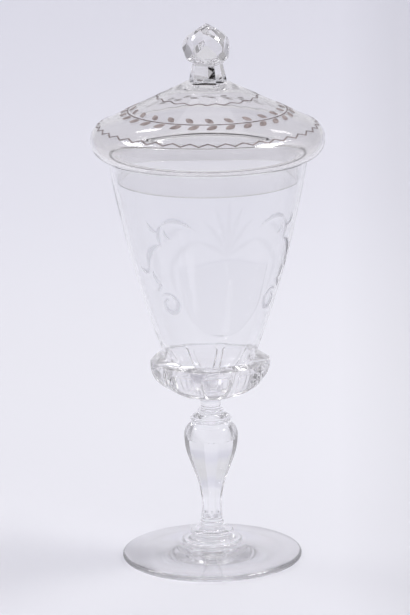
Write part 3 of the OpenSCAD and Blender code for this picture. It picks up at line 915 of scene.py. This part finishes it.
def finial_knob():
    """Pointed knob with broad facets round it, and others towards the point and below."""
    height = TIP_Z - KNOB_Z
    spare_z = height + KNOB_SPARE_H
    shoulder_z = KNOB_BELLY_H + KNOB_SHOULDER_H
    line = Outline(0, 0).to((KNOB_FOOT_R, 0), band=JOINT)
    line.to(*curve((KNOB_FOOT_R, 0), (KNOB_R, 0), (KNOB_R, KNOB_BELLY_H), MANY_STEPS),
            *curve((KNOB_R, KNOB_BELLY_H), (KNOB_R, shoulder_z), (KNOB_SPARE_R, spare_z), MANY_STEPS),
            (0, spare_z))
    piece = line.solid("finial_knob_glass", HEAVY)
    bm = bmesh.new()
    bm.from_mesh(piece.data)
    side = 360 / FINIAL_SIDES
    point_r = (height - KNOB_BELLY_H) * math.sin(math.radians(KNOB_POINT_TILT))
    for turn in KNOB_TURN + side * np.arange(FINIAL_SIDES):
        facet(bm, turn, KNOB_BROAD_TILT, KNOB_BROAD_R, KNOB_BELLY_H)
        facet(bm, turn + side / 2, KNOB_POINT_TILT, point_r, KNOB_BELLY_H)
        facet(bm, turn + side / 2, KNOB_UNDER_TILT, KNOB_UNDER_R, KNOB_BELLY_H)
    bmesh.ops.translate(bm, verts=bm.verts, vec=(0, 0, KNOB_Z))
    bm.to_mesh(piece.data)
    bm.free()
    piece.data.shade_smooth()
    piece.data.set_sharp_from_angle(angle=math.radians(KNOB_CREASE))
    return piece


def facet(bm, turn, tilt, distance, middle):
    """Grinds a flat facet that faces a turn round the axis and a tilt above the level."""
    a, e = math.radians(turn), math.radians(tilt)
    normal = Vector((math.sin(a) * math.cos(e), -math.cos(a) * math.cos(e), math.sin(e)))
    point = normal * distance + Vector((0, 0, middle))
    geom = bm.verts[:] + bm.edges[:] + bm.faces[:]
    cut = bmesh.ops.bisect_plane(bm, geom=geom, dist=CUT_GRIP, plane_co=point, plane_no=normal,
                                 clear_outer=True)
    edges = [g for g in cut["geom_cut"] if isinstance(g, bmesh.types.BMEdge)]
    if edges:
        for face in bmesh.ops.contextual_create(bm, geom=edges)["faces"]:
            face.smooth = True
            if face.normal.dot(normal) < 0:
                face.normal_flip()


GOBLET_PIECES = {"foot": foot, "foot_button": foot_button, "lower_collar": lower_collar, "stem": stem,
                 "merese": merese, "neck_collar": neck_collar, "calyx": calyx, "bowl": bowl}
LID_PIECES = {"cover": cover, "finial_neck": finial_neck, "finial_knob": finial_knob}
for body, pieces in (("goblet", GOBLET_PIECES), ("lid", LID_PIECES)):
    for node, build in pieces.items():
        piece = build()
        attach(piece, body)
        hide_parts(node)


# Gilding on the cover, drawn with a fine brush and repeated round the axis

def round_the_axis():
    """Repeats a motif round the axis, joins the copies where they meet and gilds them."""
    tree = bpy.data.node_groups.new("round_the_axis", "GeometryNodeTree")
    face = tree.interface
    face.new_socket("Motif", in_out="INPUT", socket_type="NodeSocketGeometry")
    face.new_socket("Count", in_out="INPUT", socket_type="NodeSocketInt")
    face.new_socket("First Turn", in_out="INPUT", socket_type="NodeSocketFloat")
    face.new_socket("Finish", in_out="INPUT", socket_type="NodeSocketMaterial")
    face.new_socket("Ring", in_out="OUTPUT", socket_type="NodeSocketGeometry")
    nodes, links = tree.nodes, tree.links
    given = nodes.new("NodeGroupInput")
    out = nodes.new("NodeGroupOutput")
    places = nodes.new("GeometryNodeMeshLine")
    places.inputs["Offset"].default_value = (0, 0, 0)
    links.new(given.outputs["Count"], places.inputs["Count"])
    step = nodes.new("ShaderNodeMath")
    step.operation = "DIVIDE"
    step.inputs[0].default_value = 2 * math.pi
    links.new(given.outputs["Count"], step.inputs[1])
    index = nodes.new("GeometryNodeInputIndex")
    turn = nodes.new("ShaderNodeMath")
    turn.operation = "MULTIPLY_ADD"
    links.new(index.outputs["Index"], turn.inputs[0])
    links.new(step.outputs["Value"], turn.inputs[1])
    links.new(given.outputs["First Turn"], turn.inputs[2])
    spin = nodes.new("ShaderNodeCombineXYZ")
    links.new(turn.outputs["Value"], spin.inputs["Z"])
    copies = nodes.new("GeometryNodeInstanceOnPoints")
    links.new(places.outputs["Mesh"], copies.inputs["Points"])
    links.new(given.outputs["Motif"], copies.inputs["Instance"])
    links.new(spin.outputs["Vector"], copies.inputs["Rotation"])
    whole = nodes.new("GeometryNodeRealizeInstances")
    links.new(copies.outputs["Instances"], whole.inputs["Geometry"])
    joined = nodes.new("GeometryNodeMergeByDistance")
    joined.inputs["Distance"].default_value = GILT_JOIN
    links.new(whole.outputs["Geometry"], joined.inputs["Geometry"])
    gilt = nodes.new("GeometryNodeSetMaterial")
    links.new(joined.outputs["Geometry"], gilt.inputs["Geometry"])
    links.new(given.outputs["Finish"], gilt.inputs["Material"])
    links.new(gilt.outputs["Geometry"], out.inputs["Ring"])
    return tree


ROUND_THE_AXIS = round_the_axis()


def ring_radius(up):
    """Radius of a ring on the cone."""
    slope = math.radians(COVER_SLOPE)
    return COVER_R - COVER_ROLL_R + COVER_ROLL_R * math.sin(slope) - up * math.cos(slope)


def on_cover(along, up, lift, home_up):
    """A point on the cover: along the ring at home_up, up the slope, and lifted off the glass."""
    slope = math.radians(COVER_SLOPE)
    lean = math.pi / 2 - slope + min(up, 0) / COVER_ROLL_R
    climb = max(up, 0)
    middle_x = COVER_R - COVER_ROLL_R
    middle_z = FLANGE_EDGE_Z + FLANGE_H + COVER_ROLL_R
    radius = middle_x + (COVER_ROLL_R + lift) * math.cos(lean) - climb * math.cos(slope)
    height = middle_z + (COVER_ROLL_R + lift) * math.sin(lean) + climb * math.sin(slope)
    turn = along / ring_radius(home_up)
    return radius * math.sin(turn), -radius * math.cos(turn), height


def brush_line(name, count, up, width, rise):
    """A brushed line, in lengths that meet end to end: rise gives its height along one length."""
    length = 2 * math.pi * ring_radius(up) / count
    verts, faces = [], []
    for i in range(BRUSH_STEPS + 1):
        along = length * (i / BRUSH_STEPS - 0.5)
        middle = up + rise(i / BRUSH_STEPS)
        for edge, lift in ((-1, 0), (1, 0), (1, 1), (-1, 1)):
            verts.append(on_cover(along, middle + edge * width / 2, GILT_LIFT + lift * GILT_H, up))
    for i in range(BRUSH_STEPS):
        for k in range(4):
            a, b = 4 * i + k, 4 * i + (k + 1) % 4
            faces.append((a, b, b + 4, a + 4))
    return gilt_ring(name, verts, faces, count, LINE_GILDING)


def leaf_row(name, count, base, tip, first):
    """A row of leaves along the garland's stem, each a pointed oval from its base to its tip."""
    base, tip = np.array(base) * MM, np.array(tip) * MM
    way = tip - base
    side = np.array((-way[1], way[0])) / np.hypot(*way)
    size = 2 * LEAF_STEPS
    rim = []
    for i in range(size):
        t = i / LEAF_STEPS if i <= LEAF_STEPS else 2 - i / LEAF_STEPS
        half = (1 if i < LEAF_STEPS else -1) * LEAF_W / 2 * math.sin(math.pi * t) ** LEAF_POINT_POWER
        rim.append(base + way * t + side * half)
    verts = [on_cover(p[0], STEM_LINE_UP + p[1], lift, STEM_LINE_UP)
             for lift in (GILT_LIFT, GILT_LIFT + GILT_H) for p in rim]
    faces = [tuple(range(size)), tuple(range(2 * size - 1, size - 1, -1))]
    for i in range(size):
        k = (i + 1) % size
        faces.append((k, i, size + i, size + k))
    return gilt_ring(name, verts, faces, count, LEAF_GILDING, first)


def gilt_ring(name, verts, faces, count, finish, first=0.0):
    """Repeats one motif round the cover and makes the ring a plain mesh on the lid."""
    mesh = bpy.data.meshes.new(name)
    mesh.from_pydata(verts, [], faces)
    mesh.materials.append(finish)
    motif = add_object(name, mesh)
    repeat = motif.modifiers.new("repeat", "NODES")
    repeat.node_group = ROUND_THE_AXIS
    values = {"Count": count, "First Turn": math.radians(first), "Finish": finish}
    for item in ROUND_THE_AXIS.interface.items_tree:
        if item.name in values:
            repeat[item.identifier] = values[item.name]
    ready = motif.evaluated_get(bpy.context.evaluated_depsgraph_get())
    motif.data = bpy.data.meshes.new_from_object(ready)
    motif.modifiers.clear()
    bm = bmesh.new()
    bm.from_mesh(motif.data)
    bmesh.ops.recalc_face_normals(bm, faces=bm.faces)
    bm.to_mesh(motif.data)
    bm.free()
    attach(motif, "lid")
    return motif


brush_line("gilt_wave", WAVE_COUNT, WAVE_UP, GILT_LINE_W,
           lambda t: WAVE_RISE / 2 * math.cos(2 * math.pi * t))
brush_line("gilt_stem", STEM_LINE_COUNT, STEM_LINE_UP, STEM_LINE_W, lambda t: 0)
brush_line("gilt_zigzag", ZIGZAG_COUNT, ZIGZAG_UP, ZIGZAG_LINE_W,
           lambda t: ZIGZAG_RISE * (0.5 - abs(2 * t - 1)))
leaf_row("gilt_leaves_outer", OUTER_LEAVES, OUTER_LEAF_BASE, OUTER_LEAF_TIP, OUTER_LEAF_TURN)
leaf_row("gilt_leaves_inner", INNER_LEAVES, INNER_LEAF_BASE, INNER_LEAF_TIP, INNER_LEAF_TURN)


# Stage, light and camera, in metres

FLOOR_Z = -0.3 * MM
FLOOR_NEAR_Y = -3.0
BEND_Y = 0.9
BEND_R = 0.8
WALL_TOP_Z = 3.0
PAPER_HALF_W = 3.0
PAPER_ROUGHNESS = 0.9
PAPER_SHINE = 0.1

# The paper's colours, from the front to the back of a range of depths: painted light, paler and bluer
# towards the back and up the wall
PAPER_DEPTHS = (-0.2, 1.5)
PAPER_PAINTED_LIGHT = (
    (0, (0.78, 0.78, 0.825, 1)),
    (0.38, (0.805, 0.805, 0.85, 1)),
    (0.76, (0.84, 0.84, 0.905, 1)),
    (0.89, (0.83, 0.83, 0.905, 1)),
    (1, (0.97, 0.97, 0.99, 1)),
)

# The paper's right side is darker, across a line that leans to the right with the depth
SHADE_LEAN = 0.04
SHADE_EDGE = (0.07, 0.12)
SHADE_TONES = (1.0, 0.9)

# Light of the room behind the camera, of the sides and of the ceiling, and where each passes into the next
ROOM_LIGHT = 0.27
SIDE_LIGHT = 0.48
CEILING_LIGHT = 0.3
SIDE_RANGE = (-0.9, 0.1)
CEILING_RANGE = (0.35, 0.9)
SKY_TINT = (0.97, 0.955, 1.0, 1)

# Soft boxes: name, place, target, width and height, watts
SOFT_BOXES = (
    ("left_box", (-1.1, 0.55, 1.55), (0, 0, 0.2), (0.6, 0.45), 6),
    ("right_box", (1.0, 0.1, 1.6), (0, 0, 0.1), (0.5, 0.5), 16),
)

# The photograph's height and focal length in pixels, and the camera's place and lean
PHOTO_H_PX = 615
FOCAL_PX = 3555
CAMERA_PLACE = (-2.5 * MM, -1895 * MM, 614.8 * MM)
CAMERA_PITCH = 14.0
CAMERA_ROLL = -0.67
CAMERA_NEAR = 0.1
BOUNCES = 24


def paper_material():
    """Matt pale paper, paler towards the back with painted light and darker at the right with painted
    shade, and clear from behind.
    """
    material, nodes, links, shader = new_material("pale_paper")
    place = nodes.new("ShaderNodeTexCoord")
    parts = nodes.new("ShaderNodeSeparateXYZ")
    links.new(place.outputs["Object"], parts.inputs["Vector"])
    # Painted light: the paper grows paler and bluer towards the back and up the wall
    tone = nodes.new("ShaderNodeValToRGB")
    stops = tone.color_ramp.elements
    stops[0].color = PAPER_PAINTED_LIGHT[0][1]
    stops[1].color = PAPER_PAINTED_LIGHT[-1][1]
    for position, colour in PAPER_PAINTED_LIGHT[1:-1]:
        stops.new(position).color = colour
    links.new(ranged(nodes, links, parts.outputs["Y"], PAPER_DEPTHS), tone.inputs["Fac"])
    aside = nodes.new("ShaderNodeMath")
    aside.operation = "MULTIPLY_ADD"
    aside.inputs[1].default_value = -SHADE_LEAN
    links.new(parts.outputs["Y"], aside.inputs[0])
    links.new(parts.outputs["X"], aside.inputs[2])
    shaded = nodes.new("ShaderNodeVectorMath")
    shaded.operation = "SCALE"
    links.new(tone.outputs["Color"], shaded.inputs[0])
    links.new(ranged(nodes, links, aside.outputs["Value"], SHADE_EDGE, SHADE_TONES), shaded.inputs["Scale"])
    links.new(shaded.outputs["Vector"], shader.inputs["Base Color"])
    shader.inputs["Roughness"].default_value = PAPER_ROUGHNESS
    shader.inputs["Specular IOR Level"].default_value = PAPER_SHINE
    side = nodes.new("ShaderNodeNewGeometry")
    clear = nodes.new("ShaderNodeBsdfTransparent")
    either(nodes, links, side.outputs["Backfacing"], shader, clear)
    return material


def backdrop():
    """Floor of paper that curves up into a plain wall behind."""
    line = [(FLOOR_NEAR_Y, FLOOR_Z)]
    line += [(BEND_Y + BEND_R * math.sin(a), FLOOR_Z + BEND_R * (1 - math.cos(a)))
             for a in np.linspace(0, math.pi / 2, MANY_STEPS)]
    line.append((BEND_Y + BEND_R, WALL_TOP_Z))
    verts = [(x, y, z) for y, z in line for x in (-PAPER_HALF_W, PAPER_HALF_W)]
    faces = [(2 * i, 2 * i + 1, 2 * i + 3, 2 * i + 2) for i in range(len(line) - 1)]
    mesh = bpy.data.meshes.new("backdrop")
    mesh.from_pydata(verts, [], faces)
    mesh.shade_smooth()
    mesh.materials.append(paper_material())
    sheet = add_object("backdrop", mesh)


def softbox(name, place, target, size, watts):
    light = bpy.data.lights.new(name, "AREA")
    light.shape = "RECTANGLE"
    light.size, light.size_y = size
    light.energy = watts
    lamp = add_object(name, light)
    lamp.location = place
    lamp.rotation_euler = (Vector(target) - Vector(place)).to_track_quat("-Z", "Y").to_euler()


def studio():
    """A bright ceiling, paler sides and a dim room behind the camera, with two soft boxes high up."""
    world = bpy.data.worlds.new("studio")
    bpy.context.scene.world = world
    world.use_nodes = True
    nodes, links = world.node_tree.nodes, world.node_tree.links
    sky = nodes["Background"]
    towards = nodes.new("ShaderNodeTexCoord")
    parts = nodes.new("ShaderNodeSeparateXYZ")
    links.new(towards.outputs["Generated"], parts.inputs["Vector"])
    ahead = ranged(nodes, links, parts.outputs["Y"], SIDE_RANGE, (ROOM_LIGHT, SIDE_LIGHT), "SMOOTHSTEP")
    above = ranged(nodes, links, parts.outputs["Z"], CEILING_RANGE, (0, CEILING_LIGHT), "SMOOTHSTEP")
    total = nodes.new("ShaderNodeMath")
    total.operation = "ADD"
    links.new(ahead, total.inputs[0])
    links.new(above, total.inputs[1])
    links.new(total.outputs["Value"], sky.inputs["Strength"])
    sky.inputs["Color"].default_value = SKY_TINT
    for box in SOFT_BOXES:
        softbox(*box)


def camera():
    """The photograph's view: a long lens from a little above, with the axis leaning slightly left."""
    eye = bpy.data.cameras.new("camera")
    eye.lens = FOCAL_PX / PHOTO_H_PX * eye.sensor_width
    eye.clip_start = CAMERA_NEAR
    holder = add_object("camera", eye)
    tilt = Matrix.Rotation(math.pi / 2 - math.radians(CAMERA_PITCH), 3, "X")
    roll = Matrix.Rotation(math.radians(CAMERA_ROLL), 3, "Z")
    holder.location = CAMERA_PLACE
    holder.rotation_euler = (tilt @ roll).to_euler()
    bpy.context.scene.camera = holder


backdrop()
studio()
camera()
scene = bpy.context.scene
scene.view_settings.view_transform = "Standard"
scene.cycles.max_bounces = BOUNCES
scene.cycles.transmission_bounces = BOUNCES
scene.cycles.glossy_bounces = BOUNCES
scene.cycles.transparent_max_bounces = 2 * BOUNCES
